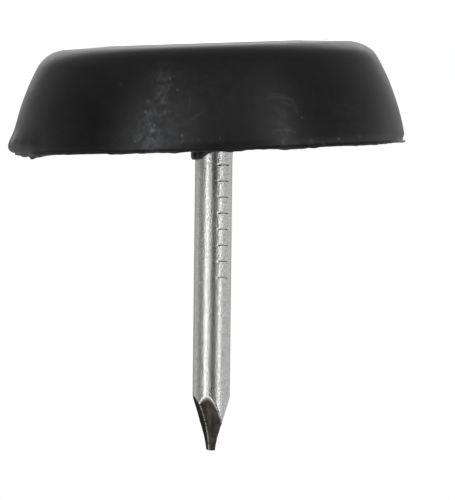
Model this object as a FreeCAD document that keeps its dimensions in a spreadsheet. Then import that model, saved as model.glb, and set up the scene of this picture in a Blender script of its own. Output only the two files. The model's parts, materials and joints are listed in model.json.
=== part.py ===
import FreeCAD, Part

# A nail-on furniture glide: a round black cap, moulded round the head of a short steel nail.
# It is drawn as it stands under a chair leg, with the flat sole on the floor at z = 0 and the nail
# pointing up. The nail is driven into the leg until the leg's end rests on the cap's rim face.
# Lengths are in millimetres and angles in degrees. "Front" is the -Y side.

import math
import os

import Sketcher

SIZES = [
    ("cap_diameter", 17.0, "across the thin flash at the rim"),
    ("cap_height", 4.5, "from the sole to the rim face"),
    ("flank_inset", 1.5, "how far the flank comes in from rim to sole"),
    ("flank_radius", 10.0, "of the flank's outward curve"),
    ("sole_flat_diameter", 8.0, "of the flat middle of the sole"),
    ("sole_crown", 0.1, "rise of the sole from its flat middle to its edge"),
    ("sole_edge_radius", 1.4, "rounding between sole and flank"),
    ("flash_width", 0.1, "how far the moulding flash stands out from the flank"),
    ("flash_thickness", 0.12, "of that flash, at the rim face"),
    ("collar_wall", 0.12, "of the plastic that crept up round the nail"),
    ("collar_shift", 0.05, "of that collar from the nail, towards its thick side at +X"),
    ("collar_height", 0.45, "of that collar on its high side, at +X"),
    ("collar_low_height", 0.05, "of that collar on its low side"),
    ("collar_top_radius", 5.0, "of its top, which is hollow from side to side"),
    ("head_cover", 1.4, "plastic between the sole and the nail's head"),
    ("head_diameter", 4.5, "of the nail's head, buried in the cap"),
    ("head_thickness", 0.9, "of the nail's head"),
    ("head_edge_radius", 0.25, "rounding of the head's rim"),
    ("neck_diameter", 1.8, "of the nail right above its head, where it tapers to the wire"),
    ("neck_showing", 0.05, "of that taper, past the top of the collar"),
    ("shank_diameter", 1.6, "of the nail's wire"),
    ("nail_reach", 12.5, "from the top of the collar to the nail's tip"),
    ("nail_lean", 2.5, "tilt of the nail from upright, towards +X"),
    ("nail_offset", 0.28, "of the nail from the cap's centre, towards -X"),
    ("point_length", 2.4, "of the four-sided point"),
    ("point_turn", 14.0, "from the front to the first facet, towards +X"),
    ("facet_spread", 64.0, "from the first facet to the one beside it"),
    ("flat_facet_reach", 0.2, "from the nail's axis to the two flat facets, at the blunt tip"),
    ("hollow_facet_reach", 0.13, "from the nail's axis to the two hollow facets, at the blunt tip"),
    ("hollow_facet_radius", 6.0, "of the hollow facets' curve"),
    ("grip_turn", 34.0, "from the front to the row of grip nicks, towards -X"),
    ("grip_count", 8, "nicks in each of the two rows"),
    ("grip_pitch", 0.69, "from nick to nick along the shank"),
    ("grip_start", 0.19, "from the top of the collar to the first nick"),
    ("grip_depth", 0.06, "of a nick in the shank"),
    ("grip_radius", 0.08, "of a nick's round bottom"),
]

# Distance by which a cutting outline runs past the solid that it cuts.
CUT_PAST = 1.0
TINY = 1e-6

# How a sketch's constraint names its own origin, and the points of a line, an arc or a circle.
ORIGIN = -1
START = 1
END = 2
CENTRE = 3

UPRIGHT = FreeCAD.Vector(0, 0, 1)


def make_sheet(doc):
    """The driving dimensions, one row each: alias, value and what it is."""
    sheet = doc.addObject("Spreadsheet::Sheet", "sizes")
    for row, (alias, value, meaning) in enumerate(SIZES, start=1):
        sheet.set(f"A{row}", alias)
        sheet.set(f"B{row}", str(value))
        sheet.setAlias(f"B{row}", alias)
        sheet.set(f"C{row}", meaning)
    doc.recompute()
    return sheet


def new_body(doc, label):
    body = doc.addObject("PartDesign::Body", label)
    body.Label = label
    return body


def origin_feature(body, role):
    """One of the body's own origin planes or axes."""
    for feature in body.Origin.OriginFeatures:
        if feature.Role == role:
            return feature
    raise ValueError(f"{body.Label} has no {role}")


def new_sketch(body, name, plane, turn=None, lift=None):
    """A sketch on an origin plane of its body. `turn` is an expression in degrees, above 0 and under 180,
    that turns an upright sketch about the body's Z axis. `lift` raises a level sketch along Z."""
    sketch = body.newObject("Sketcher::SketchObject", name)
    sketch.AttachmentSupport = [(origin_feature(body, plane), "")]
    sketch.MapMode = "FlatFace"
    if turn:
        sketch_up = FreeCAD.Vector(0, 1, 0)
        sketch.AttachmentOffset = FreeCAD.Placement(FreeCAD.Vector(), FreeCAD.Rotation(sketch_up, 1))
        sketch.setExpression("AttachmentOffset.Rotation.Angle", f"({turn}) * 1deg")
    if lift:
        sketch.setExpression("AttachmentOffset.Base.z", f"({lift}) * 1mm")
    return sketch


def value_of(sheet, expression):
    """A size expression's value in millimetres, which places a sketch's geometry before it is solved."""
    return float(sheet.evalExpression(expression))


def pin_point(sketch, geometry, point, across, up):
    """Dimensions a point of the sketch from the origin: `across` and `up` are expressions."""
    for kind, expression in (("DistanceX", across), ("DistanceY", up)):
        value = value_of(sketch.Document.sizes, expression)
        index = sketch.addConstraint(Sketcher.Constraint(kind, ORIGIN, START, geometry, point, value))
        sketch.setExpression(f"Constraints[{index}]", f"({expression}) * 1mm")


def hold_radius(sketch, geometry, expression):
    value = value_of(sketch.Document.sizes, expression)
    index = sketch.addConstraint(Sketcher.Constraint("Radius", geometry, value))
    sketch.setExpression(f"Constraints[{index}]", f"({expression}) * 1mm")


def bulging_arc(start, end, radius):
    """The arc from start to end that bulges to the right of that way."""
    chord = end - start
    to_centre = math.sqrt(radius**2 - (chord.Length / 2) ** 2)
    centre = (start + end) * 0.5 + UPRIGHT.cross(chord).normalize() * to_centre
    first = math.atan2(start.y - centre.y, start.x - centre.x)
    last = math.atan2(end.y - centre.y, end.x - centre.x)
    return Part.ArcOfCircle(Part.Circle(centre, UPRIGHT, radius), first, last)


def draw_outline(sketch, corners, arcs=None, mirrored=False):
    """A closed outline through `corners`, which are pairs of expressions. `arcs` maps the number of a side
    to the expression of its radius: that side bulges to the right of the way it is drawn, or to the left
    in a mirrored outline."""
    arcs = arcs or {}
    sheet = sketch.Document.sizes
    points = [FreeCAD.Vector(value_of(sheet, across), value_of(sheet, up), 0) for across, up in corners]
    # an arc always runs the same way round, so in a mirrored outline it is drawn from its far end
    first, last = (END, START) if mirrored else (START, END)
    ends = []
    for side, start in enumerate(points):
        end = points[(side + 1) % len(points)]
        if side not in arcs:
            ends.append((sketch.addGeometry(Part.LineSegment(start, end), False), START, END))
            continue
        nearer, farther = (end, start) if mirrored else (start, end)
        arc = bulging_arc(nearer, farther, value_of(sheet, arcs[side]))
        ends.append((sketch.addGeometry(arc, False), first, last))
    for side, (across, up) in enumerate(corners):
        before, _, before_end = ends[side - 1]
        here, here_start, _ = ends[side]
        sketch.addConstraint(Sketcher.Constraint("Coincident", before, before_end, here, here_start))
        pin_point(sketch, here, here_start, across, up)
    for side, radius in arcs.items():
        hold_radius(sketch, ends[side][0], radius)


def draw_circle(sketch, across, up, radius):
    """A circle whose centre and radius are expressions."""
    sheet = sketch.Document.sizes
    centre = FreeCAD.Vector(value_of(sheet, across), value_of(sheet, up), 0)
    circle = sketch.addGeometry(Part.Circle(centre, UPRIGHT, value_of(sheet, radius)), False)
    pin_point(sketch, circle, CENTRE, across, up)
    hold_radius(sketch, circle, radius)


def revolve(body, sketch, name):
    """Turns a section drawn in the XZ plane once round the body's Z axis."""
    turned = body.newObject("PartDesign::Revolution", name)
    turned.Profile = sketch
    turned.ReferenceAxis = (origin_feature(body, "Z_Axis"), [""])
    turned.Angle = 360
    return turned


def cut_through(body, sketch, name):
    """Cuts the sketch's outline through the whole body, both ways from the sketch."""
    pocket = body.newObject("PartDesign::Pocket", name)
    pocket.Profile = sketch
    pocket.Type = "ThroughAll"
    pocket.Midplane = True
    return pocket


def edges_where(shape, wanted):
    """The names of the edges that `wanted` picks."""
    return [f"Edge{n}" for n, edge in enumerate(shape.Edges, start=1) if wanted(edge)]


def round_edges(body, base, name, edges, radius):
    rounded = body.newObject("PartDesign::Fillet", name)
    rounded.Base = (base, edges)
    rounded.setExpression("Radius", f"({radius}) * 1mm")
    return rounded


def make_cap_blank(doc):
    """The cap before its nail is let in: crowned sole, rounded edge, curved flank, flash at the rim, flat
    rim face and the slanting collar that stands round the nail."""
    body = new_body(doc, "cap_blank")

    rim = "sizes.cap_diameter / 2"
    flank_top = f"({rim} - sizes.flash_width)"
    section = new_sketch(body, "cap_section", "XZ_Plane")
    corners = [
        ("0", "0"),
        ("sizes.sole_flat_diameter / 2", "0"),
        (f"{flank_top} - sizes.flank_inset", "sizes.sole_crown"),
        (flank_top, "sizes.cap_height - sizes.flash_thickness"),
        (rim, "sizes.cap_height - sizes.flash_thickness"),
        (rim, "sizes.cap_height"),
        ("0", "sizes.cap_height"),
    ]
    draw_outline(section, corners, arcs={2: "sizes.flank_radius"})
    dome = revolve(body, section, "cap_revolved")
    doc.recompute()

    crown = value_of(doc.sizes, "sizes.sole_crown")
    sole_edge = edges_where(
        dome.Shape,
        lambda edge: abs(edge.BoundBox.ZMin - crown) < TINY and abs(edge.BoundBox.ZMax - crown) < TINY,
    )
    round_edges(body, dome, "sole_edge_rounding", sole_edge, "sizes.sole_edge_radius")
    doc.recompute()

    collar_middle = "(sizes.collar_shift - sizes.nail_offset)"
    collar_radius = "(sizes.shank_diameter / 2 + sizes.collar_wall)"
    collar_plan = new_sketch(body, "collar_plan", "XY_Plane", lift="sizes.cap_height")
    draw_circle(collar_plan, collar_middle, "0", collar_radius)
    collar = body.newObject("PartDesign::Pad", "collar")
    collar.Profile = collar_plan
    collar.setExpression("Length", "sizes.collar_height * 1mm")
    doc.recompute()

    low_side = f"{collar_middle} - {collar_radius}"
    high_side = f"{collar_middle} + {collar_radius}"
    low_top = "sizes.cap_height + sizes.collar_low_height"
    high_top = "sizes.cap_height + sizes.collar_height"
    slant = new_sketch(body, "collar_slant", "XZ_Plane")
    corners = [
        (low_side, low_top),
        (high_side, high_top),
        (high_side, f"{high_top} + {CUT_PAST}"),
        (f"{low_side} - {CUT_PAST}", f"{high_top} + {CUT_PAST}"),
        (f"{low_side} - {CUT_PAST}", low_top),
    ]
    draw_outline(slant, corners, arcs={0: "sizes.collar_top_radius"})
    cut_through(body, slant, "collar_slant_cut")
    doc.recompute()
    return body


def cut_facet_pair(doc, body, name, turn, reach, hollow=None):
    """Two opposite facets of the point. `turn` is their direction about the nail's axis, `reach` is how far
    each is from it at the tip, and `hollow` is the radius of their curve, if they have one."""
    tip = "sizes.collar_height + sizes.nail_reach"
    shoulder = f"{tip} - sizes.point_length"
    shank = "sizes.shank_diameter / 2"
    outline = new_sketch(body, f"{name}_outline", "XZ_Plane", turn=turn)
    for side in ("", "-"):
        facet_tip = f"{side}({reach})"
        facet_shoulder = f"{side}({shank})"
        outside = f"{side}({shank} + {CUT_PAST})"
        corners = [
            (facet_tip, tip),
            (facet_shoulder, shoulder),
            (outside, shoulder),
            (outside, f"{tip} + {CUT_PAST}"),
            (facet_tip, f"{tip} + {CUT_PAST}"),
        ]
        draw_outline(outline, corners, arcs={0: hollow} if hollow else None, mirrored=side == "-")
    cut_through(body, outline, f"{name}_facets")
    doc.recompute()


def cut_grip_nicks(doc, body):
    """Two rows of shallow nicks on opposite sides of the shank, left by the dies that held the wire."""
    bottom = "(sizes.shank_diameter / 2 - sizes.grip_depth + sizes.grip_radius)"
    first = "sizes.collar_height + sizes.grip_start"
    nick_section = new_sketch(body, "nick_section", "XZ_Plane", turn="90 - sizes.grip_turn")
    draw_circle(nick_section, bottom, first, "sizes.grip_radius")
    draw_circle(nick_section, f"-{bottom}", first, "sizes.grip_radius")
    nicks = cut_through(body, nick_section, "first_nicks")
    doc.recompute()
    row = body.newObject("PartDesign::LinearPattern", "grip_nicks")
    row.Originals = [nicks]
    row.Direction = (origin_feature(body, "Z_Axis"), [""])
    row.setExpression("Length", "(sizes.grip_count - 1) * sizes.grip_pitch * 1mm")
    row.setExpression("Occurrences", "sizes.grip_count")
    body.Tip = row
    doc.recompute()


def make_nail(doc):
    """The nail: flat head, tapered neck, wire shank with grip nicks, and a four-sided point. It is drawn
    upright from where its axis meets the rim face, then set off centre and leaning as it is in the cap."""
    body = new_body(doc, "nail")

    head_bottom = "(sizes.head_cover - sizes.cap_height)"
    head_top = f"{head_bottom} + sizes.head_thickness"
    neck_top = "sizes.collar_height + sizes.neck_showing"
    head = "sizes.head_diameter / 2"
    neck = "sizes.neck_diameter / 2"
    shank = "sizes.shank_diameter / 2"
    tip = "sizes.collar_height + sizes.nail_reach"
    section = new_sketch(body, "nail_section", "XZ_Plane")
    corners = [
        ("0", head_bottom),
        (head, head_bottom),
        (head, head_top),
        (neck, head_top),
        (shank, neck_top),
        (shank, tip),
        ("0", tip),
    ]
    draw_outline(section, corners)
    blank = revolve(body, section, "nail_revolved")
    doc.recompute()

    widest = value_of(doc.sizes, head)
    head_rim = edges_where(
        blank.Shape,
        lambda edge: hasattr(edge.Curve, "Radius") and abs(edge.Curve.Radius - widest) < TINY,
    )
    round_edges(body, blank, "head_edge_rounding", head_rim, "sizes.head_edge_radius")
    doc.recompute()

    flat_turn = "90 + sizes.point_turn"
    cut_facet_pair(doc, body, "flat", flat_turn, "sizes.flat_facet_reach")
    cut_facet_pair(
        doc,
        body,
        "hollow",
        f"{flat_turn} + sizes.facet_spread",
        "sizes.hollow_facet_reach",
        hollow="sizes.hollow_facet_radius",
    )
    cut_grip_nicks(doc, body)

    leaning = FreeCAD.Rotation(FreeCAD.Vector(0, 1, 0), 1)
    body.Placement = FreeCAD.Placement(FreeCAD.Vector(), leaning)
    body.setExpression("Placement.Base.x", "-sizes.nail_offset * 1mm")
    body.setExpression("Placement.Base.z", "sizes.cap_height * 1mm")
    body.setExpression("Placement.Rotation.Angle", "sizes.nail_lean * 1deg")
    doc.recompute()
    return body


def make_cap(doc, blank, nail):
    """The finished cap: the blank, with the nail's own shape as its cavity, as it is moulded round it."""
    cap = doc.addObject("Part::Cut", "glide_cap")
    cap.Label = "glide_cap"
    cap.Base = blank
    cap.Tool = nail
    doc.recompute()
    return cap


def check_document(doc):
    for item in doc.Objects:
        if {"Invalid", "Error"} & set(item.State):
            raise RuntimeError(f"{item.Label} failed: {item.State}")


def export_part(part):
    """Writes one sub-part as STEP, once it is one sound solid."""
    shape = part.Shape
    if shape.isNull() or not shape.isValid() or len(shape.Solids) != 1:
        raise RuntimeError(f"{part.Label} isn't one valid solid")
    shape.exportStep(os.path.join("parts", f"{part.Label}.step"))
    box = shape.optimalBoundingBox()
    print(f"{part.Label}: volume {shape.Volume:.2f} mm3, {len(shape.Faces)} faces, {box}")


def main():
    os.makedirs("parts", exist_ok=True)
    doc = FreeCAD.newDocument("nail_on_glide")
    make_sheet(doc)
    blank = make_cap_blank(doc)
    nail = make_nail(doc)
    cap = make_cap(doc, blank, nail)
    check_document(doc)
    for part in (cap, nail):
        export_part(part)


main()
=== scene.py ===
import json
import math
import bpy
import numpy as np
from mathutils import Matrix, Vector


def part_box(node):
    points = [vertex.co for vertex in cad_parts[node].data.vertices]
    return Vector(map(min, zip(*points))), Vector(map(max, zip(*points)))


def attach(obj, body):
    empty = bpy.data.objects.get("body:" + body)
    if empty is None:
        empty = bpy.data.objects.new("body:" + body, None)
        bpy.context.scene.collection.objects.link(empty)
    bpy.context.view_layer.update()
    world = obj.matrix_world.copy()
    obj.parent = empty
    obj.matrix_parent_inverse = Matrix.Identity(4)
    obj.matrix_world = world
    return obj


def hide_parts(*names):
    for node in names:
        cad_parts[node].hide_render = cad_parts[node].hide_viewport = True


# A nail-on furniture glide: a black moulded cap with a zinc-plated wire nail standing out of its rim.
# It stands on its sole with the nail up. The camera is turned by half a turn, so the picture has the
# nail down: right in the picture is -X, and down is +Z. Lengths here are millimetres, and MM turns
# them into Blender's metres. A turn is an angle about the cap's or nail's axis from the camera's
# side, positive to the picture's right.

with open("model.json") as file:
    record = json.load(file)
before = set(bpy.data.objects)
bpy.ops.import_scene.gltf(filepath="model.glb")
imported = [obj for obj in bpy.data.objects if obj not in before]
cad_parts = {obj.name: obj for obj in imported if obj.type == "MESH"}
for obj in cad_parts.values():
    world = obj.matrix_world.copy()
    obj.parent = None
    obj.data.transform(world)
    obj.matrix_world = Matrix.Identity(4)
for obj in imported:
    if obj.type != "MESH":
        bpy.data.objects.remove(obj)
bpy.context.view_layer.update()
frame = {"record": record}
MM = 0.001

# Sizes that the frame gives
cap_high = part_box("glide_cap")[1]
nail_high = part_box("nail")[1]
mounts = {mount["name"]: mount for mount in frame["record"]["mounts"]}
FLASH_RADIUS = cap_high.x / MM
COLLAR_TOP = cap_high.z / MM
RIM_HEIGHT = mounts["seat"]["pos_m"][2] / MM
WIRE_RADIUS = mounts["nail"]["dims"]["r_mm"]
nail_axis = Vector(mounts["nail"]["axis"]).normalized()
nail_middle = Vector(mounts["nail"]["pos_m"]) / MM
NAIL_FOOT = nail_middle + nail_axis * ((RIM_HEIGHT - nail_middle.z) / nail_axis.z)
TIP_REACH = (nail_high.z / MM - RIM_HEIGHT) / nail_axis.z

# The cap's profile
FLASH_WIDTH = 0.1
FLASH_THICKNESS = 0.12
RIM_RADIUS = FLASH_RADIUS - FLASH_WIDTH
FLANK_INSET = 1.5
FLANK_RADIUS = 10.0
SOLE_FLAT_RADIUS = 4.0
SOLE_CROWN = 0.1
SOLE_EDGE_RADIUS = 1.4
COLLAR_SHIFT = 0.05
COLLAR_WALL = 0.12
COLLAR_LOW = 0.05
COLLAR_FOOT_X = -1.15
COLLAR_CREST_X = 0.42
COLLAR_CURVE = 2.7

# The nail
HEAD_RADIUS = 2.25
HEAD_THICKNESS = 0.9
HEAD_EDGE = 0.25
HEAD_COVER = 1.4
NECK_RADIUS = 0.9
NECK_SHOWING = 0.05
POINT_LENGTH = 2.4
POINT_TURN = 14.0
FACET_SPREAD = 64.0
FLAT_FACET_REACH = 0.2
HOLLOW_FACET_REACH = 0.13
HOLLOW_FACET_RADIUS = 6.0
TIP_ROUNDING = 0.045
NICK_TURN = 34.0
NICK_COUNT = 8
NICK_PITCH = 0.69
NICK_START = 0.22
NICK_DEPTH = 0.05
NICK_RUN_IN = 0.11
NICK_STEP = 0.028
NICK_STEP_AT_ENDS = 0.11
NICK_SOFTNESS = 0.02

# The camera: the picture's scale, its size, where it looks, and its roll
SCALE = 23.33
PICTURE_WIDTH = 455
PICTURE_HEIGHT = 500
CAMERA_PLACE = Vector((-0.719, -300.0, 0.3))
CAMERA_TARGET = Vector((-0.719, 0.0, 8.87))
CAMERA_ROLL = math.radians(1.85)
SENSOR = 36.0
NEAREST_SEEN = 10.0
FARTHEST_SEEN = 10000.0


def camera_axes():
    """The picture's right and up, and the way back from the target to the camera."""
    back = (CAMERA_PLACE - CAMERA_TARGET).normalized()
    level = Vector((-1.0, 0.0, 0.0))
    upright = back.cross(level)
    right = level * math.cos(CAMERA_ROLL) - upright * math.sin(CAMERA_ROLL)
    up = level * math.sin(CAMERA_ROLL) + upright * math.cos(CAMERA_ROLL)
    return right, up, back


def place_camera():
    """A camera whose lens gives the picture its scale at the glide."""
    right, up, back = camera_axes()
    distance = (CAMERA_PLACE - CAMERA_TARGET).length
    data = bpy.data.cameras.new("camera")
    data.sensor_width = SENSOR
    data.lens = SENSOR * distance * SCALE / PICTURE_HEIGHT
    data.clip_start = NEAREST_SEEN * MM
    data.clip_end = FARTHEST_SEEN * MM
    camera = bpy.data.objects.new("camera", data)
    camera.matrix_world = Matrix((right, up, back)).transposed().to_4x4()
    camera.matrix_world.translation = CAMERA_PLACE * MM
    bpy.context.scene.collection.objects.link(camera)
    bpy.context.scene.camera = camera


def in_picture(points):
    """The picture's coordinates, in pixels, of points in the frame."""
    right, up, back = (np.array(axis) for axis in camera_axes())
    offset = points - np.array(CAMERA_PLACE)
    distance = (CAMERA_PLACE - CAMERA_TARGET).length
    depth = -offset @ back
    across = PICTURE_WIDTH / 2 + offset @ right / depth * distance * SCALE
    down = PICTURE_HEIGHT / 2 - offset @ up / depth * distance * SCALE
    return across, down


# Shapes and numbers that both pieces use

# A sum of waves seldom passes this many times its own mean swing
WANDER_PEAK = 1.6


def smooth(value, low, high):
    """0 below low, 1 above high, and an S-shaped rise between them."""
    share = np.clip((value - low) / (high - low), 0.0, 1.0)
    return share * share * (3.0 - 2.0 * share)


def bell(value, middle, width):
    """1 at the middle, and soon 0 beyond the width on either side."""
    return np.exp(-(((value - middle) / width) ** 2))


def wander(turn, waves, seed):
    """A smooth uneven line around a circle, between about -1 and 1, that closes on itself."""
    dice = np.random.RandomState(seed)
    total = np.zeros_like(turn)
    for wave in waves:
        total = total + np.sin(wave * turn + dice.uniform(0.0, 2.0 * math.pi))
    return total / math.sqrt(len(waves) / 2.0) / WANDER_PEAK


def away_from(turns, turn):
    """How far each turn is from one turn, at most half a turn either way."""
    return (turns - turn + math.pi) % (2 * math.pi) - math.pi


def skin(name, start, rings, end, marks):
    """A closed mesh of rings between two end points. marks holds a number for each ring point."""
    rings = np.array(rings)
    count, columns = rings.shape[0], rings.shape[1]
    points = np.vstack([[start], rings.reshape(-1, 3), [end]])
    last = len(points) - 1
    here = np.arange(columns)
    beside = (here + 1) % columns
    faces = [(0, 1 + b, 1 + a) for a, b in zip(here.tolist(), beside.tolist())]
    for ring in range(count - 1):
        low = 1 + ring * columns
        high = low + columns
        quads = np.stack([low + here, low + beside, high + beside, high + here], axis=1)
        faces.extend(map(tuple, quads.tolist()))
    top = 1 + (count - 1) * columns
    faces.extend((last, top + a, top + b) for a, b in zip(here.tolist(), beside.tolist()))
    mesh = bpy.data.meshes.new(name)
    mesh.from_pydata((points * MM).tolist(), [], faces)
    mesh.shade_smooth()
    for mark, values in marks.items():
        layer = mesh.attributes.new(mark, "FLOAT", "POINT")
        layer.data.foreach_set("value", np.concatenate([[0.0], np.ravel(values), [0.0]]))
    piece = bpy.data.objects.new(name, mesh)
    bpy.context.scene.collection.objects.link(piece)
    return piece


# The cap

CAP_COLUMNS = 720
SOLE_EDGE_RINGS = 16
FLANK_RINGS = 58
# Columns are this much closer together on the camera's side than on average
FRONT_CROWDING = 0.35

# Lumps of flash along the rim's edge, in the picture: x, half width, drop, and how far they stand out
RIM_LUMPS = (
    (23.5, 2.6, 2.2, 0.0),
    (31.8, 2.5, 3.5, 0.4),
    (38.8, 3.0, 2.1, 0.2),
    (48.0, 6.0, -0.6, 0.0),
    (84.0, 22.0, -0.8, 0.0),
    (120.0, 14.0, 0.5, 0.0),
    (174.0, 10.0, 1.0, 0.0),
    (228.0, 10.0, 1.3, 0.2),
    (241.0, 5.0, 0.8, 0.0),
    (289.0, 11.0, 1.0, 0.3),
    (302.0, 5.0, 0.9, 0.1),
    (312.0, 6.0, 0.5, 0.2),
    (340.0, 14.0, -0.4, 0.0),
    (366.0, 7.0, 0.5, 0.4),
    (396.0, 9.0, -1.0, 0.0),
)

# At the picture's left the wall is drawn in near the sole, and its rim is a rounded bead with no flash
LEFT = math.radians(-90.0)
DRAWN_IN = 0.175
DRAWN_IN_TO = 4.2
FULLER = 0.1
BEAD_SIZE = 0.165
BEAD_MIDDLE = 4.08
BEAD_RISE = 0.5
BEAD_ROUND = 0.33
BEAD_RIPPLE = 0.12
BEAD_WHOLE_WITHIN = math.radians(14.0)
BEAD_GONE_BY = math.radians(34.0)
# Heights between which the fuller side swells above the sole, and dies away under the rim
FULLER_FROM = (0.1, 0.5)
FULLER_TO = (4.1, 4.38)
# Slow waves all round the wall, and the heights between which they grow to that
WAVE_DEPTH = 0.012
WAVES_FROM = (0.3, 3.0)
# How far the flash's edge strays outward and up, and the collar's edge outward and up
FLASH_STRAY = 0.02
FLASH_RISE = 0.014
COLLAR_STRAY = 0.02
COLLAR_RISE_STRAY = 0.012
# Where the flank ends and the flash begins, the collar's middle, and how far its foot flares out
FLASH_FOOT = RIM_HEIGHT - FLASH_THICKNESS
COLLAR_MIDDLE = (NAIL_FOOT.x + COLLAR_SHIFT, 0.0)
COLLAR_FLARE = 0.07
# How high above the rim plane the nail's hole has its mouth, and how high the neck is as wide as it
MOUTH_REACH = 0.03
MOUTH_FIT = 0.02


def flank_centre():
    """The middle of the flank's arc, which runs from the sole's corner to the flash."""
    sole = np.array([RIM_RADIUS - FLANK_INSET, SOLE_CROWN])
    rim = np.array([RIM_RADIUS, FLASH_FOOT])
    chord = rim - sole
    length = np.hypot(*chord)
    inward = np.array([-chord[1], chord[0]]) / length
    return (sole + rim) / 2 + inward * math.sqrt(FLANK_RADIUS ** 2 - length ** 2 / 4)


def column_turns():
    """The angle of each column from the camera's side, closer together there."""
    even = np.linspace(-math.pi, math.pi, CAP_COLUMNS, endpoint=False)
    return even - FRONT_CROWDING * np.sin(even)


def cap_ring(radius, height, turns, centre=(0.0, 0.0)):
    """Points around the cap. radius and height are numbers, or one for each column."""
    x = centre[0] - radius * np.sin(turns)
    y = centre[1] - radius * np.cos(turns)
    return np.stack([x, y, height * np.ones_like(turns)], axis=1)


def bead_share(turns):
    """1 where the rim is a rounded bead, and 0 where it has its thin flash."""
    return smooth(np.cos(turns - LEFT), math.cos(BEAD_GONE_BY), math.cos(BEAD_WHOLE_WITHIN))


def out_of_round(turns, height):
    """How far the moulded wall strays from its true circle: slow waves, the side that is drawn in
    near the sole, the fuller side across from it, and the bead, which swells towards the rim and
    turns over onto the rim face."""
    waves = WAVE_DEPTH * wander(turns, (2, 3, 5), 11) * smooth(height, *WAVES_FROM)
    toward_left = (1.0 + np.cos(turns - LEFT)) / 2.0
    drawn_in = DRAWN_IN * max(0.0, 1.0 - height / DRAWN_IN_TO) * toward_left ** 2
    swollen = smooth(height, *FULLER_FROM) * (1.0 - smooth(height, *FULLER_TO))
    fuller = FULLER * swollen * (1.0 - toward_left) ** 2
    swell = BEAD_SIZE * bell(min(height, BEAD_MIDDLE), BEAD_MIDDLE, BEAD_RISE)
    past = min(max(height - BEAD_MIDDLE, 0.0), BEAD_ROUND)
    turned_over = BEAD_ROUND - math.sqrt(BEAD_ROUND ** 2 - past ** 2)
    ripple = 1.0 + BEAD_RIPPLE * wander(turns, (19, 31, 47), 12)
    return waves - drawn_in + fuller + bead_share(turns) * (swell * ripple - turned_over)


def rim_flash(turns):
    """The ragged line of flash: how far it stands out beyond its mean line, and up past the rim."""
    out = FLASH_STRAY * wander(turns, (23, 37, 61, 89), 21)
    rise = FLASH_RISE * wander(turns, (17, 29, 43, 71, 113), 22)
    edge = cap_ring(RIM_RADIUS + out_of_round(turns, RIM_HEIGHT), RIM_HEIGHT, turns)
    across = in_picture(edge)[0]
    front = np.cos(turns) > 0
    for x, half_width, drop, proud in RIM_LUMPS:
        lump = np.where(front, bell(across, x, half_width), 0.0)
        rise = rise + lump * drop / SCALE
        out = out + lump * proud / SCALE
    return out, rise


def collar_height(x):
    """The collar's top above the rim face: thick on one side of the nail, and thin on the other."""
    share = np.clip((x - COLLAR_FOOT_X) / (COLLAR_CREST_X - COLLAR_FOOT_X), 0.0, 1.0)
    return COLLAR_LOW + (COLLAR_TOP - RIM_HEIGHT - COLLAR_LOW) * share ** COLLAR_CURVE


def collar_edge(turns):
    """The collar's uneven radius."""
    return WIRE_RADIUS + COLLAR_WALL + COLLAR_STRAY * wander(turns, (5, 9, 14, 23), 31)


# The flash's section: its share of the flash's width, its share of the thickness, and its inset
FLASH_SECTION = (
    (0.45, 0.12, 0.0),
    (0.85, 0.35, 0.0),
    (1.0, 0.6, 0.0),
    (0.9, 0.85, 0.0),
    (0.5, 1.0, 0.0),
    (0.0, 1.0, 0.06),
)

# The collar's section: how far in from its side, and its share of the collar's height
COLLAR_SECTION = (
    (0.0, 0.12),
    (-0.015, 0.4),
    (-0.02, 0.7),
    (0.0, 0.88),
    (0.035, 0.98),
    (0.07, 1.0),
)


def arc_rings(middle, radius, angles, turns):
    """Rings of the moulded wall along an arc of its profile."""
    rings = []
    for angle in angles:
        out = middle[0] + radius * math.cos(angle)
        height = middle[1] + radius * math.sin(angle)
        rings.append(cap_ring(out + out_of_round(turns, height), height, turns))
    return rings


def sole_edge():
    """The sole's rounded edge: its middle, its angle at the crown, and its angle at the flank. It
    touches both the crown's slope and the flank's arc."""
    centre = flank_centre()
    slope = math.atan2(SOLE_CROWN, RIM_RADIUS - FLANK_INSET - SOLE_FLAT_RADIUS)
    along = np.array([math.cos(slope), math.sin(slope)])
    inward = np.array([-math.sin(slope), math.cos(slope)])
    start = np.array([SOLE_FLAT_RADIUS, 0.0]) + SOLE_EDGE_RADIUS * inward - centre
    reach = FLANK_RADIUS - SOLE_EDGE_RADIUS
    way = start @ along
    middle = centre + start + along * (math.sqrt(way ** 2 - start @ start + reach ** 2) - way)
    tangent = math.atan2(middle[1] - centre[1], middle[0] - centre[0])
    return middle, slope - math.pi / 2, tangent


def sole_rings(turns):
    """The sole: flat in the middle, crowned towards its edge, and out around its rounded edge."""
    rings = [cap_ring(radius, 0.0, turns) for radius in (0.5, 1.5, 2.5, 3.4, 3.9)]
    middle, first, tangent = sole_edge()
    crown_end = middle + SOLE_EDGE_RADIUS * np.array([math.cos(first), math.sin(first)])
    for share in (0.02, 0.15, 0.4, 0.7, 0.95):
        radius = SOLE_FLAT_RADIUS + (crown_end[0] - SOLE_FLAT_RADIUS) * share
        stray = out_of_round(turns, crown_end[1]) * share ** 2
        rings.append(cap_ring(radius + stray, crown_end[1] * share, turns))
    angles = np.linspace(first, tangent, SOLE_EDGE_RINGS)
    return rings + arc_rings(middle, SOLE_EDGE_RADIUS, angles, turns)


def flank_rings(turns):
    """The flank, from the sole's rounded edge up to the flash."""
    centre = flank_centre()
    first = sole_edge()[2]
    last = math.asin((FLASH_FOOT - centre[1]) / FLANK_RADIUS)
    return arc_rings(centre, FLANK_RADIUS, np.linspace(first, last, FLANK_RINGS)[1:], turns)


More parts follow.
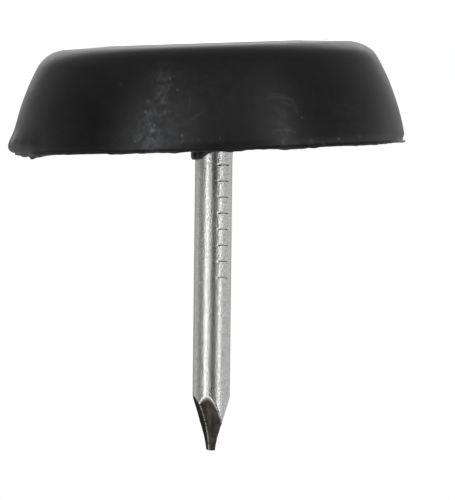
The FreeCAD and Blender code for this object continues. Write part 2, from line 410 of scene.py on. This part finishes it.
def flash_rings(turns):
    """The flash: out of the flank, round its ragged edge and back onto the rim face."""
    rings = []
    out, rise = rim_flash(turns)
    width = (FLASH_WIDTH + out) * (1.0 - bead_share(turns))
    for share, lift, inset in FLASH_SECTION:
        level = FLASH_FOOT + FLASH_THICKNESS * lift
        radius = RIM_RADIUS + out_of_round(turns, level) + width * share - inset
        rings.append(cap_ring(radius, level + rise * lift, turns))
    for inset in (0.3, 0.6, 1.0):
        radius = RIM_RADIUS + out_of_round(turns, RIM_HEIGHT) - inset
        rings.append(cap_ring(radius, RIM_HEIGHT + rise * (1.0 - inset) ** 2, turns))
    return rings


def rim_face_rings(outer, turns):
    """The rim face, from its outer ring in to the collar's foot."""
    foot = cap_ring(collar_edge(turns) + COLLAR_FLARE, RIM_HEIGHT, turns, COLLAR_MIDDLE)
    shares = (0.12, 0.3, 0.5, 0.7, 0.84, 0.93, 1.0)
    return [outer * (1 - share) + foot * share for share in shares]


def collar_rings(turns):
    """The collar: up its side, over its edge and in to the nail."""
    rings = []
    edge = collar_edge(turns)
    side = cap_ring(edge, RIM_HEIGHT, turns, COLLAR_MIDDLE)
    rise = collar_height(side[:, 0]) + COLLAR_RISE_STRAY * wander(turns, (7, 12, 19, 31), 32)
    for inset, lift in COLLAR_SECTION:
        rings.append(cap_ring(edge - inset, RIM_HEIGHT + rise * lift, turns, COLLAR_MIDDLE))
    return rings


def nail_hole_rings(turns):
    """The hole that the nail fills: in at its mouth, down its neck and around its head."""
    rings = [around_nail(neck_radius(MOUTH_FIT), MOUTH_REACH, turns)]
    for reach in (-0.6, -1.4):
        rings.append(around_nail(neck_radius(reach), reach, turns))
    rings.append(around_nail(NECK_RADIUS, HEAD_TOP, turns))
    rings.append(around_nail(HEAD_RADIUS - HEAD_EDGE, HEAD_TOP, turns))
    for degrees in (60.0, 30.0, 0.0):
        radius, inset = head_edge(degrees)
        rings.append(around_nail(radius, HEAD_TOP - inset, turns))
    for degrees in (0.0, 30.0, 60.0, 90.0):
        radius, inset = head_edge(degrees)
        rings.append(around_nail(radius, HEAD_LOW + inset, turns))
    rings.append(around_nail(HEAD_RADIUS * 0.4, HEAD_LOW, turns))
    return rings


def cap_rings(turns):
    """All the cap's rings, from the middle of its sole, round its rim and in to the nail's head."""
    rings = sole_rings(turns) + flank_rings(turns) + flash_rings(turns)
    rings += rim_face_rings(rings[-1], turns)
    return rings + collar_rings(turns) + nail_hole_rings(turns)


# Rub marks on the cap's flank, in the picture: x, y, half width, half height, strength. The patches
# around x 150 to 180 and x 282 are also painted sheen where the two soft boxes' highlights fall,
# strongest near the rim
RUB_AND_SHEEN_PATCHES = (
    (150.0, 120.0, 11.0, 15.0, 0.76),
    (163.0, 100.0, 9.0, 22.0, 0.62),
    (164.0, 72.0, 11.0, 10.0, 0.32),
    (225.0, 90.0, 55.0, 30.0, 0.09),
    (150.0, 141.0, 20.0, 11.0, 1.0),
    (178.0, 122.0, 16.0, 18.0, 0.25),
    (282.0, 128.0, 9.0, 20.0, 0.45),
    (283.0, 140.0, 5.0, 9.0, 0.6),
    (345.0, 112.0, 16.0, 14.0, 0.12),
    (196.0, 141.0, 20.0, 3.0, 0.3),
    (320.0, 143.0, 26.0, 2.5, 0.3),
)
SPECKS = (
    (120.5, 84.6, 0.7, 0.5),
    (145.7, 112.0, 1.0, 0.7),
    (152.0, 130.5, 1.8, 0.6),
    (154.0, 126.0, 1.1, 0.5),
    (164.5, 79.5, 1.0, 0.4),
    (170.0, 78.6, 1.0, 0.5),
    (177.5, 90.0, 1.1, 0.4),
    (159.0, 94.0, 1.6, 0.3),
    (148.5, 101.5, 1.7, 0.3),
    (182.0, 135.7, 0.9, 0.7),
    (220.0, 138.0, 0.8, 0.4),
    (135.0, 141.5, 0.9, 0.5),
    (154.5, 52.4, 0.9, 0.4),
    (284.5, 47.8, 0.9, 0.7),
    (302.0, 117.5, 1.0, 0.3),
    (283.5, 111.0, 0.8, 0.4),
    (311.0, 140.5, 1.4, 0.3),
    (324.0, 144.0, 1.3, 0.3),
    (339.0, 139.0, 1.2, 0.4),
    (360.0, 137.0, 0.8, 0.4),
    (382.0, 142.7, 1.0, 0.3),
)
# Fine curved scratches, in the picture: centre x and y, radius, from and to in degrees, and strength
SCRATCHES = (
    (276.0, 124.0, 27.0, -115.0, -32.0, 0.11),
    (274.0, 125.0, 31.0, -105.0, -40.0, 0.09),
    (280.0, 122.0, 20.0, -90.0, -20.0, 0.09),
    (283.0, 161.0, 31.0, -115.0, -60.0, 0.14),
    (170.0, 62.0, 60.0, 50.0, 75.0, 0.12),
    (100.0, 100.0, 90.0, -8.0, 14.0, 0.10),
)
# A scratch's half width in pixels, and the degrees in which its ends fade
SCRATCH_WIDTH = 0.9
SCRATCH_FADE = 12.0
# Marks fade in between these heights, these distances from the axis, and these cosines of the turn
WALL_HEIGHTS = (0.15, 0.7)
WALL_RADII = (6.4, 6.9)
NEAR_SIDE = (0.0, 0.2)
FAR_SIDE = (-0.1, 0.2)
# The far side's marks, whose turns, heights, sizes and strengths are drawn at random between these
FAR_PATCHES = 7
FAR_PATCH_TURNS = (1.7, 2 * math.pi - 1.7)
FAR_PATCH_HEIGHTS = (1.6, 4.2)
FAR_PATCH_WIDTHS = (0.06, 0.16)
FAR_PATCH_STRENGTHS = (0.3, 0.9)
FAR_PATCH_TALL = 0.8
FAR_SPECKS = 16
FAR_SPECK_TURNS = (1.6, 2 * math.pi - 1.6)
FAR_SPECK_HEIGHTS = (0.6, 4.3)
FAR_SPECK_WIDTH = 0.007
FAR_SPECK_TALL = 0.05
FAR_SPECK_STRENGTH = 0.7


def far_marks(height, wall, turns):
    """The far side's rubbed patches and pale specks."""
    rub_and_sheen = np.zeros_like(height)
    pale = np.zeros_like(height)
    dice = np.random.RandomState(51)
    behind = wall * smooth(-np.cos(turns), *FAR_SIDE)[None, :]
    for _ in range(FAR_PATCHES):
        turn, level = dice.uniform(*FAR_PATCH_TURNS), dice.uniform(*FAR_PATCH_HEIGHTS)
        width, strength = dice.uniform(*FAR_PATCH_WIDTHS), dice.uniform(*FAR_PATCH_STRENGTHS)
        around = bell(away_from(turns, turn), 0.0, width)[None, :]
        rub_and_sheen += strength * behind * around * bell(height, level, FAR_PATCH_TALL)
    for _ in range(FAR_SPECKS):
        turn, level = dice.uniform(*FAR_SPECK_TURNS), dice.uniform(*FAR_SPECK_HEIGHTS)
        around = bell(away_from(turns, turn), 0.0, FAR_SPECK_WIDTH)[None, :]
        pale += FAR_SPECK_STRENGTH * behind * around * bell(height, level, FAR_SPECK_TALL)
    return rub_and_sheen, pale


def cap_marks(points, turns):
    """Numbers for the plastic's finish: how rubbed it is, together with painted sheen where the soft
    boxes' highlights fall on the near side, and how pale its specks and scratches.
    """
    across, down = in_picture(points.reshape(-1, 3))
    across = across.reshape(points.shape[:2])
    down = down.reshape(points.shape[:2])
    height = points[:, :, 2]
    distance = np.hypot(points[:, :, 0], points[:, :, 1])
    wall = smooth(height, *WALL_HEIGHTS) * smooth(distance, *WALL_RADII)
    front = wall * smooth(np.cos(turns), *NEAR_SIDE)[None, :]
    rub_and_sheen, pale = far_marks(height, wall, turns)
    # The near side's patches: rub marks, and painted sheen where the soft boxes' highlights fall
    for x, y, half_width, half_height, strength in RUB_AND_SHEEN_PATCHES:
        rub_and_sheen += strength * bell(across, x, half_width) * bell(down, y, half_height) * front
    for x, y, size, strength in SPECKS:
        pale += strength * bell(across, x, size) * bell(down, y, size) * front
    for x, y, radius, first, last, strength in SCRATCHES:
        line = bell(np.hypot(across - x, down - y), radius, SCRATCH_WIDTH)
        angle = np.degrees(np.arctan2(down - y, across - x))
        begun = smooth(angle, first, first + SCRATCH_FADE)
        unended = smooth(-angle, -last, SCRATCH_FADE - last)
        pale += strength * line * begun * unended * front
    return {"rub_and_sheen": np.clip(rub_and_sheen, 0.0, 1.0), "pale": np.clip(pale, 0.0, 1.0)}


def make_cap():
    """The moulded cap, in one piece."""
    turns = column_turns()
    rings = np.array(cap_rings(turns))
    foot = nail_point(HEAD_LOW)
    cap = skin("cap_moulding", (0.0, 0.0, 0.0), rings, foot, cap_marks(rings, turns))
    cap.data.materials.append(black_plastic())
    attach(cap, "root")
    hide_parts("glide_cap")


# The nail. It is worked out along its own axis: reach is the distance from the rim plane to a point
# on the axis, and positive towards the tip.

NAIL_COLUMNS = 192
across_nail = np.array((nail_axis.z, 0.0, -nail_axis.x))
COLLAR_RISE = COLLAR_TOP - RIM_HEIGHT
HEAD_LOW = HEAD_COVER - RIM_HEIGHT
HEAD_TOP = HEAD_LOW + HEAD_THICKNESS
SHANK_START = COLLAR_RISE + NECK_SHOWING
POINT_START = TIP_REACH - POINT_LENGTH
NICK_REACHES = [COLLAR_RISE + NICK_START + NICK_PITCH * nick for nick in range(NICK_COUNT)]
POINT_RINGS = 90
PLAIN_RING_STEP = 0.08
RING_GAP = 0.02
# How far the drawn wire strays from round, and how much one nick's depth differs from another's
WIRE_STRAY = 0.003
NICK_UNEVEN = (0.85, 1.15)
# Turns, in radians, between which a nick's step runs out to its full length at the ends
NICK_ENDS = (0.08, 0.34)
# Cosines of the turn below which a nick, or a facet, lies too far round the wire to touch it
NICK_FACING = 0.4
FACET_FACING = 0.05
OUT_OF_REACH = 9.0
# The walls of the point are the wire, two flat facets and, from this number, two hollow ones
FIRST_HOLLOW = 3
# Depths between which a facet counts as cut, the half width of its burr, and the burr's run-in
CUT_DEPTHS = (0.004, 0.02)
BURR_WIDTH = 0.03
BURR_RUN_IN = 0.05


def neck_radius(reach):
    """The neck's taper, from the head to the straight shank."""
    share = np.clip((reach - HEAD_TOP) / (SHANK_START - HEAD_TOP), 0.0, 1.0)
    return NECK_RADIUS + (WIRE_RADIUS - NECK_RADIUS) * share


def head_edge(degrees):
    """The head's radius and its distance in from the head's flat, at one angle of the rounded edge:
    90 degrees is where it meets the flat."""
    angle = math.radians(degrees)
    return HEAD_RADIUS - HEAD_EDGE * (1 - math.cos(angle)), HEAD_EDGE * (1 - math.sin(angle))


def around_nail(radius, reach, turns):
    """Points around the nail's axis."""
    x = -radius * np.sin(turns)
    y = -radius * np.cos(turns)
    axis = np.array(nail_axis)
    middle = np.array(NAIL_FOOT)[None, :] + np.outer(reach * np.ones_like(turns), axis)
    return middle + np.outer(x, across_nail) + np.outer(y, np.array((0.0, 1.0, 0.0)))


def nail_point(reach):
    """A point on the nail's axis."""
    return np.array(NAIL_FOOT) + np.array(nail_axis) * reach


def shank_reaches():
    """Where the rings lie on the shank and its point: close together at the nicks, and on the point."""
    run_in = NICK_RUN_IN * np.array((-1.0, -0.84, -0.7, -0.56, -0.43, -0.3, -0.18, -0.08))
    step = NICK_STEP * np.array((0.0, 0.16, 0.33, 0.5, 0.67, 0.84, 1.0, 1.35, 1.9, 2.7))
    reaches = [nick + offset for nick in NICK_REACHES for offset in np.concatenate([run_in, step])]
    reaches = [reach for reach in reaches if reach > SHANK_START + RING_GAP / 2]
    for plain in np.arange(SHANK_START + RING_GAP, POINT_START, PLAIN_RING_STEP):
        if min(abs(plain - nick) for nick in NICK_REACHES) > NICK_RUN_IN + RING_GAP:
            reaches.append(plain)
    reaches.extend(np.linspace(POINT_START, TIP_REACH - TIP_ROUNDING, POINT_RINGS))
    return sorted(reaches)


def nicked_wire(reach, turns):
    """The wire's radius for each turn. A nick is a flat across the wire that runs in gently and ends in
    a step on the tip's side."""
    wire = WIRE_RADIUS + WIRE_STRAY * wander(turns, (2, 3, 4), 61)
    number = int(np.argmin([abs(reach - nick) for nick in NICK_REACHES]))
    away = reach - NICK_REACHES[number]
    if not -NICK_RUN_IN < away < NICK_STEP_AT_ENDS:
        return wire
    deepest = NICK_DEPTH * np.random.RandomState(70 + number).uniform(*NICK_UNEVEN)
    for row in (NICK_TURN, NICK_TURN - 180.0):
        turn = away_from(turns, math.radians(row))
        step = NICK_STEP + (NICK_STEP_AT_ENDS - NICK_STEP) * smooth(abs(turn), *NICK_ENDS)
        past = np.where(away < 0, -away / NICK_RUN_IN, away / step)
        depth = deepest * (1.0 - smooth(past, 0.0, 1.0))
        facing = np.maximum(np.cos(turn), NICK_FACING)
        nicked = soft_least(wire, (WIRE_RADIUS - depth) / facing)
        wire = wire + (nicked - soft_least(wire, WIRE_RADIUS / facing))
    return wire


def soft_least(first, second):
    """The lesser of two radii, with a rounded edge where they cross."""
    return (first + second - np.sqrt((first - second) ** 2 + NICK_SOFTNESS ** 2)) / 2


def facets(reach):
    """The four facets of the point: each one's distance from the nail's axis, and its turn."""
    share = (reach - POINT_START) / POINT_LENGTH
    flat = WIRE_RADIUS + (FLAT_FACET_REACH - WIRE_RADIUS) * share
    chord = math.hypot(POINT_LENGTH, WIRE_RADIUS - HOLLOW_FACET_REACH)
    sag = 4 * share * (1 - share) * chord ** 2 / (8 * HOLLOW_FACET_RADIUS)
    hollow = WIRE_RADIUS + (HOLLOW_FACET_REACH - WIRE_RADIUS) * share - sag
    front = math.radians(-POINT_TURN)
    left = front - math.radians(FACET_SPREAD)
    return (flat, front), (flat, front + math.pi), (hollow, left), (hollow, left + math.pi)


def nail_section(reach, turns):
    """The nail's radius at one reach for each turn, and its marks: where the facets cut it, where
    their edges are, and where the hollow facets are, whose colour is painted shade."""
    wire = nicked_wire(reach, turns)
    plain = np.zeros_like(turns)
    if reach <= POINT_START:
        return wire, plain, plain, plain
    walls = [wire]
    for depth, turn in facets(reach):
        facing = np.cos(turns - turn)
        wall = depth / np.maximum(facing, FACET_FACING)
        walls.append(np.where(facing > FACET_FACING, wall, OUT_OF_REACH))
    hollow = np.argmin(walls, axis=0) >= FIRST_HOLLOW
    walls = np.sort(np.array(walls), axis=0)
    radius = walls[0]
    cut = smooth(wire - radius, *CUT_DEPTHS)
    burr = bell(walls[1] - walls[0], 0.0, BURR_WIDTH)
    edge = burr * smooth(reach, POINT_START, POINT_START + BURR_RUN_IN)
    # The last mark is the hollow facets, whose colour is painted shade
    return radius, cut, edge, hollow * cut


def make_nail():
    """The nail, from the underside of its head to its tip, in one piece."""
    turns = np.linspace(-math.pi, math.pi, NAIL_COLUMNS, endpoint=False)
    rings = []
    marks = {"cut": [], "edge": [], "hollow_facet": []}
    plain = np.zeros_like(turns)

    def add(radius, reach, *numbers):
        rings.append(around_nail(radius, reach, turns))
        for values, number in zip(marks.values(), numbers or (plain, plain, plain)):
            values.append(number)

    def add_section(reach, share=1.0):
        radius, *numbers = nail_section(reach, turns)
        add(radius * share, reach, *numbers)

    for radius in (0.7, 1.4, 1.8):
        add(radius, HEAD_LOW)
    for degrees in np.linspace(90.0, 0.0, 5):
        radius, inset = head_edge(degrees)
        add(radius, HEAD_LOW + inset)
    for degrees in np.linspace(0.0, 90.0, 5):
        radius, inset = head_edge(degrees)
        add(radius, HEAD_TOP - inset)
    add(1.4, HEAD_TOP)
    for reach in np.linspace(HEAD_TOP, SHANK_START, 12):
        add(neck_radius(reach), reach)
    for reach in shank_reaches():
        add_section(reach)
    for angle in np.radians(np.linspace(0.0, 90.0, 8))[1:-1]:
        reach = TIP_REACH - TIP_ROUNDING * (1 - math.sin(angle))
        add_section(reach, math.cos(angle))
    nail = skin("wire_nail", nail_point(HEAD_LOW), rings, nail_point(TIP_REACH), marks)
    nail.data.materials.append(zinc_wire())
    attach(nail, "root")
    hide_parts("nail")


# Materials: their colours, the plastic's specular level, and the depth of each one's relief

PLASTIC_DARK = (0.0036, 0.0036, 0.0039, 1.0)
PLASTIC_PALE = (0.0068, 0.0068, 0.0074, 1.0)
# The paler colour of the rub marks, which in the near side's highlight patches is painted sheen
PLASTIC_RUB_AND_SHEEN = (0.050, 0.052, 0.057, 1.0)
PLASTIC_FLECK = (0.15, 0.15, 0.145, 1.0)
ZINC_DULL = (0.46, 0.46, 0.45, 1.0)
ZINC_BRIGHT = (0.76, 0.76, 0.75, 1.0)
SHEARED_DARK = (0.03, 0.026, 0.022, 1.0)
SHEARED_PALE = (0.08, 0.072, 0.062, 1.0)
# Near black on the hollow facets: painted shade that hides their glancing reflection
PAINTED_FACET_SHADE = (0.012, 0.011, 0.009, 1.0)
WHITE = (1.0, 1.0, 1.0, 1.0)
PLASTIC_SPECULAR = 0.28
PLASTIC_RELIEF = 0.02
ZINC_RELIEF = 0.009


def new_material(name):
    """An empty material, and its tree."""
    material = bpy.data.materials.new(name)
    material.use_nodes = True
    tree = material.node_tree
    tree.nodes.clear()
    return material, tree


def node(tree, kind, inputs=None, **settings):
    """Adds a node, sets its properties, and fills its inputs with values or other nodes' outputs."""
    made = tree.nodes.new(kind)
    for setting, value in settings.items():
        setattr(made, setting, value)
    for socket, value in (inputs or {}).items():
        if isinstance(value, bpy.types.NodeSocket):
            tree.links.new(value, made.inputs[socket])
        else:
            made.inputs[socket].default_value = value
    return made


def maths(tree, operation, first, second=0.0, third=0.0, clamp=False):
    """A sum, product or other operation on up to three values."""
    inputs = {0: first, 1: second, 2: third}
    return node(tree, "ShaderNodeMath", inputs, operation=operation, use_clamp=clamp).outputs[0]


def blend_colours(tree, share, first, second):
    """The first colour where share is 0, and the second where it is 1."""
    inputs = {0: share, 6: first, 7: second}
    return node(tree, "ShaderNodeMix", inputs, data_type="RGBA").outputs[2]


def band(tree, value, low, high, from_value=0.0, to_value=1.0):
    """A smooth step of a value from low to high."""
    inputs = {
        "Value": value,
        "From Min": low,
        "From Max": high,
        "To Min": from_value,
        "To Max": to_value,
    }
    return node(tree, "ShaderNodeMapRange", inputs, interpolation_type="SMOOTHSTEP").outputs[0]


def millimetres(tree, stretch=(1.0, 1.0, 1.0)):
    """The piece's own coordinates in millimetres, with each axis stretched."""
    place = node(tree, "ShaderNodeTexCoord").outputs["Object"]
    scale = tuple(1.0 / MM * share for share in stretch)
    return node(tree, "ShaderNodeMapping", {"Vector": place, "Scale": scale}).outputs[0]


def noise(tree, place, scale, detail=2.0, roughness=0.5):
    """Cloudy noise between 0 and 1, with about scale lumps to the millimetre."""
    inputs = {"Vector": place, "Scale": scale, "Detail": detail, "Roughness": roughness}
    return node(tree, "ShaderNodeTexNoise", inputs).outputs[0]


def attribute(tree, name):
    """One of the numbers that a mesh holds for its points."""
    return node(tree, "ShaderNodeAttribute", attribute_name=name).outputs["Fac"]


def black_plastic():
    """Black moulded polyethylene, satin, with a cloudy rubbed bloom, painted sheen where the soft
    boxes' highlights fall on the near flank, and a few pale specks.
    """
    material, tree = new_material("black_plastic")
    place = millimetres(tree)
    cloud = noise(tree, place, 1.3, 5.0, 0.62)
    fine = noise(tree, place, 5.5, 4.0, 0.6)
    grain = noise(tree, place, 22.0, 2.0, 0.5)
    # How rubbed the plastic is, with painted sheen in the near side's highlight patches
    rub_and_sheen = attribute(tree, "rub_and_sheen")
    pale = attribute(tree, "pale")

    smudge = noise(tree, place, 2.6, 3.0, 0.6)
    patchy = maths(tree, "MULTIPLY", rub_and_sheen, band(tree, smudge, 0.36, 0.64, 0.12, 1.0))
    patchy = maths(tree, "MULTIPLY", patchy, band(tree, fine, 0.34, 0.66, 0.4, 1.0))
    base = blend_colours(tree, cloud, PLASTIC_DARK, PLASTIC_PALE)
    # Paler where rubbed, and where the soft boxes' highlights fall on the near flank: painted sheen
    worn_and_sheen = blend_colours(tree, patchy, base, PLASTIC_RUB_AND_SHEEN)
    fleck = maths(tree, "MULTIPLY", pale, band(tree, grain, 0.35, 0.6, 0.3, 1.0))
    colour = blend_colours(tree, fleck, worn_and_sheen, PLASTIC_FLECK)

    gloss = maths(tree, "MULTIPLY_ADD", cloud, 0.16, 0.24)
    gloss = maths(tree, "MULTIPLY_ADD", patchy, 0.12, gloss, clamp=True)

    relief = maths(tree, "MULTIPLY_ADD", grain, 0.25, fine)
    bump = node(tree, "ShaderNodeBump", {
        "Height": relief, "Strength": 0.25, "Distance": PLASTIC_RELIEF * MM})
    shader = node(tree, "ShaderNodeBsdfPrincipled", {
        "Base Color": colour, "Roughness": gloss, "Normal": bump.outputs[0]})
    shader.inputs["Specular IOR Level"].default_value = PLASTIC_SPECULAR
    node(tree, "ShaderNodeOutputMaterial", {"Surface": shader.outputs[0]})
    return material


def zinc_wire():
    """Bright zinc on drawn wire, with a fine uneven grain, dark steel on the point's facets, and
    painted shade on its hollow facets.
    """
    material, tree = new_material("zinc_wire")
    place = millimetres(tree)
    along = millimetres(tree, (1.0, 1.0, 0.12))
    grain = noise(tree, place, 7.0, 3.0, 0.6)
    drawn = noise(tree, along, 9.0, 3.0, 0.55)
    pits = noise(tree, place, 15.0, 2.0, 0.55)
    cut = attribute(tree, "cut")

    mottle = maths(tree, "MULTIPLY", drawn, 0.5)
    mottle = maths(tree, "MULTIPLY_ADD", band(tree, pits, 0.36, 0.64), 0.5, mottle)
    bright = blend_colours(tree, mottle, ZINC_DULL, ZINC_BRIGHT)
    smear = noise(tree, millimetres(tree, (1.0, 1.0, 0.35)), 4.0, 4.0, 0.6)
    steel = blend_colours(tree, band(tree, smear, 0.35, 0.7), SHEARED_DARK, SHEARED_PALE)
    hollow_facet = attribute(tree, "hollow_facet")
    # The hollow facets darker still: painted shade over their glancing reflection
    steel = blend_colours(tree, hollow_facet, steel, PAINTED_FACET_SHADE)
    burr = maths(tree, "MULTIPLY", attribute(tree, "edge"), band(tree, grain, 0.38, 0.52))
    sheared = maths(tree, "SUBTRACT", cut, burr, clamp=True)
    colour = blend_colours(tree, sheared, bright, steel)

    gloss = maths(tree, "MULTIPLY_ADD", grain, 0.12, 0.12)
    gloss = maths(tree, "MULTIPLY_ADD", sheared, 0.22, gloss)
    gloss = maths(tree, "MULTIPLY_ADD", hollow_facet, 0.4, gloss, clamp=True)

    relief = maths(tree, "MULTIPLY_ADD", drawn, 0.7, grain)
    relief = maths(tree, "MULTIPLY_ADD", band(tree, pits, 0.38, 0.62), 0.8, relief)
    bump = node(tree, "ShaderNodeBump", {
        "Height": relief, "Strength": 0.5, "Distance": ZINC_RELIEF * MM})
    shader = node(tree, "ShaderNodeBsdfPrincipled", {
        "Base Color": colour, "Roughness": gloss, "Normal": bump.outputs[0]})
    shader.inputs["Metallic"].default_value = 1.0
    node(tree, "ShaderNodeOutputMaterial", {"Surface": shader.outputs[0]})
    return material


# The floor and the light

FLOOR_SIZE = 600.0
FLOOR_DROP = 0.01
FLOOR_COLOUR = (0.9, 0.9, 0.9, 1.0)
# The light that the floor adds for the camera alone, so that it looks white
FLOOR_GLOW = 0.12


def make_floor():
    """A white floor under the sole. Shiny surfaces see the surroundings in its place."""
    material, tree = new_material("white_floor")
    light = node(tree, "ShaderNodeLightPath")
    matt = node(tree, "ShaderNodeBsdfDiffuse", {"Color": FLOOR_COLOUR})
    lift = maths(tree, "MULTIPLY", light.outputs["Is Camera Ray"], FLOOR_GLOW)
    glow = node(tree, "ShaderNodeEmission", {"Color": WHITE, "Strength": lift})
    both = node(tree, "ShaderNodeAddShader", {0: matt.outputs[0], 1: glow.outputs[0]})
    node(tree, "ShaderNodeOutputMaterial", {"Surface": both.outputs[0]})
    half = FLOOR_SIZE / 2 * MM
    mesh = bpy.data.meshes.new("floor")
    corners = [(-half, -half, 0), (half, -half, 0), (half, half, 0), (-half, half, 0)]
    mesh.from_pydata(corners, [], [(0, 1, 2, 3)])
    floor = bpy.data.objects.new("floor", mesh)
    floor.location.z = -FLOOR_DROP * MM
    floor.data.materials.append(material)
    bpy.context.scene.collection.objects.link(floor)
    floor.visible_glossy = False


# What shiny surfaces see: the turn in degrees at which each stretch begins, and its brightness.
# The two brightest are narrow soft boxes, and the dark one between them is the camera's own place.
SURROUNDINGS = (
    (-180.0, 0.34),
    (-145.0, 0.62),
    (-95.0, 0.38),
    (-47.0, 2.60),
    (-34.0, 0.95),
    (-14.0, 0.04),
    (18.0, 0.42),
    (40.0, 2.40),
    (51.0, 0.70),
    (143.0, 0.50),
)
# What they see below the sole's level: the same two boxes, the left one wider, and darker gaps
LOW_SURROUNDINGS = (
    (-180.0, 0.34),
    (-118.0, 0.22),
    (-88.0, 0.04),
    (-54.0, 1.50),
    (-6.0, 0.50),
    (24.0, 0.75),
    (36.0, 1.90),
    (53.0, 0.25),
    (92.0, 0.35),
    (118.0, 0.45),
)
# Brightness straight down, straight behind the glide, and all round for matt surfaces
STRAIGHT_DOWN = 0.42
STRAIGHT_BEHIND = 1.25
AMBIENT = 0.72
# Half the degrees over which one stretch gives way to the next
SOFT_EDGE = 2.0
# How far a direction falls, as a share of its length, where one zone gives way to the next:
# the low surroundings, straight down, and the pale patch straight behind the glide
LOW_FROM = (0.1, 0.22)
DOWN_FROM = (0.4, 0.85)
BEHIND_FROM = (0.03, 0.16)
# How far the pale patch's directions go back, and aside, by the same measure
BEHIND_BACK = (0.66, 0.88)
BEHIND_ASIDE = (0.25, 0.5)

# The lamps: turn and elevation in degrees, distance, size, and power in watts
LAMPS = {
    "key": (-35.0, 40.0, 400.0, 300.0, 0.9),
    "fill": (60.0, 30.0, 400.0, 300.0, 0.4),
    "back": (170.0, 45.0, 400.0, 300.0, 0.5),
}


def between(tree, share, first, second):
    """The first value where share is 0, and the second where it is 1."""
    return node(tree, "ShaderNodeMix", {0: share, 2: first, 3: second}).outputs[0]


def around_the_room(tree, turn, surroundings):
    """The brightness at a turn, with soft steps from one stretch of the surroundings to the next."""
    level = surroundings[0][1]
    for (_, before), (begins, after) in zip(surroundings, surroundings[1:]):
        rise = band(tree, turn, begins - SOFT_EDGE, begins + SOFT_EDGE, 0.0, after - before)
        level = maths(tree, "ADD", rise, level)
    return level


def make_world():
    """White for the camera, an even light for matt surfaces, and the studio for shiny ones."""
    world = bpy.data.worlds.new("studio")
    world.use_nodes = True
    bpy.context.scene.world = world
    tree = world.node_tree
    tree.nodes.clear()
    way = node(tree, "ShaderNodeTexCoord").outputs["Generated"]
    parts = node(tree, "ShaderNodeSeparateXYZ", {0: way})
    left = maths(tree, "MULTIPLY", parts.outputs[0], -1.0)
    near = maths(tree, "MULTIPLY", parts.outputs[1], -1.0)
    turn = maths(tree, "DEGREES", maths(tree, "ARCTAN2", left, near))
    fall = maths(tree, "MULTIPLY", parts.outputs[2], -1.0)
    level = around_the_room(tree, turn, SURROUNDINGS)
    low_level = around_the_room(tree, turn, LOW_SURROUNDINGS)
    low_level = between(tree, band(tree, fall, *DOWN_FROM), low_level, STRAIGHT_DOWN)
    level = between(tree, band(tree, fall, *LOW_FROM), level, low_level)
    behind = band(tree, parts.outputs[1], *BEHIND_BACK)
    behind = maths(tree, "MULTIPLY", behind, band(tree, fall, *BEHIND_FROM))
    aside = maths(tree, "ABSOLUTE", parts.outputs[0])
    behind = maths(tree, "MULTIPLY", behind, band(tree, aside, *BEHIND_ASIDE, 1.0, 0.0))
    level = between(tree, behind, level, STRAIGHT_BEHIND)
    light = node(tree, "ShaderNodeLightPath")
    shiny = maths(tree, "MAXIMUM", light.outputs["Is Glossy Ray"], light.outputs["Is Transmission Ray"])
    gloss_or_matt = between(tree, shiny, AMBIENT, level)
    strength = between(tree, light.outputs["Is Camera Ray"], gloss_or_matt, 1.0)
    background = node(tree, "ShaderNodeBackground", {"Color": WHITE, "Strength": strength})
    node(tree, "ShaderNodeOutputWorld", {"Surface": background.outputs[0]})


def soft_lamp(name, turn, elevation, distance, size, power):
    """A square soft lamp that points at the glide. Shiny surfaces don't see it."""
    data = bpy.data.lights.new(name, "AREA")
    data.size = size * MM
    data.energy = power
    lamp = bpy.data.objects.new(name, data)
    turn, elevation = math.radians(turn), math.radians(elevation)
    flat = math.cos(elevation)
    way = Vector((-math.sin(turn) * flat, -math.cos(turn) * flat, math.sin(elevation)))
    lamp.location = way * distance * MM
    lamp.rotation_euler = way.to_track_quat("Z", "Y").to_euler()
    lamp.visible_camera = False
    lamp.visible_glossy = False
    bpy.context.scene.collection.objects.link(lamp)


def make_light():
    """The world and the three lamps."""
    make_world()
    for name, numbers in LAMPS.items():
        soft_lamp(name, *numbers)


bpy.context.scene.view_settings.view_transform = "Standard"
place_camera()
make_cap()
make_nail()
make_floor()
make_light()
